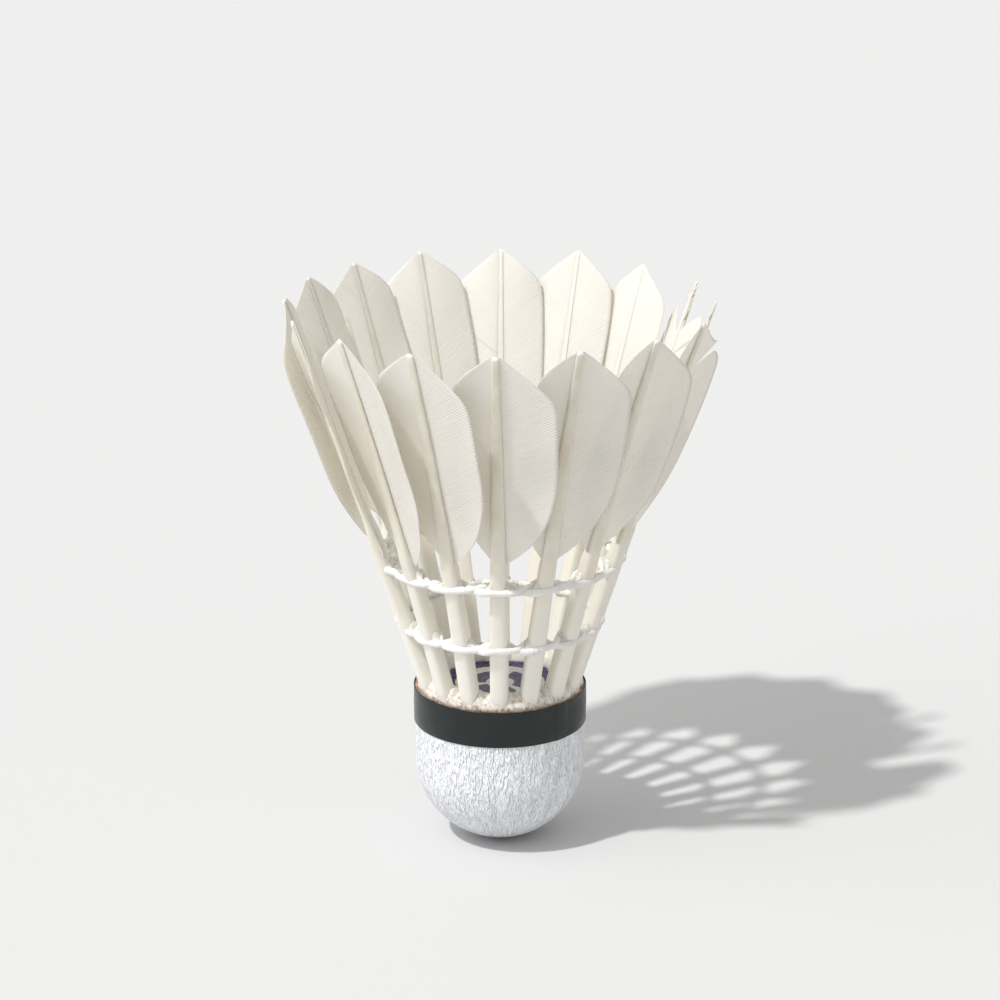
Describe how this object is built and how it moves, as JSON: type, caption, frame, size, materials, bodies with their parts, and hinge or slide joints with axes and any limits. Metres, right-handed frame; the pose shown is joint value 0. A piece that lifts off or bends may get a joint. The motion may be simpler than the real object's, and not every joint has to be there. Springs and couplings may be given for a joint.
{
  "type": "badminton shuttlecock",
  "caption": "Feather shuttlecock: round-nosed leather-covered cork head with a dark rim tape, a flared skirt of overlapping white feathers and two rows of binding thread.",
  "frame": {"origin": "lowest point of the round nose, on the axis of the head", "axes": "+Z along the axis, from the nose to the feather tips; the shaft of feather_01 lies in the plane of +X and +Z; each feather's outer web laps over the next one counter-clockwise seen from above"},
  "size_m": [0.0638, 0.0638, 0.0846],
  "materials": {
    "cork": "natural cork, matt",
    "leather": "white, finely creased, soft sheen",
    "tape": "dark green-black tape, half gloss",
    "label_paper": "matt printed paper",
    "glue": "cloudy dried glue, glossy",
    "feather": "natural goose feather, ivory shaft and white web",
    "thread": "white cotton thread stiffened with glue"
  },
  "bodies": {
    "root": {"cork_nose": "cork", "cork_upper_block": "cork", "leather_cover": "leather", "rim_tape": "tape", "label_disc": "label_paper", "shaft_glue_collar": "glue", "feather_01": "feather", "feather_02": "feather", "feather_03": "feather", "feather_04": "feather", "feather_05": "feather", "feather_06": "feather", "feather_07": "feather", "feather_08": "feather", "feather_09": "feather", "feather_10": "feather", "feather_11": "feather", "feather_12": "feather", "feather_13": "feather", "feather_14": "feather", "feather_15": "feather", "feather_16": "feather", "lower_thread_strand_a": "thread", "lower_thread_strand_b": "thread", "upper_thread_strand_a": "thread", "upper_thread_strand_b": "thread"}
  },
  "joints": []
}
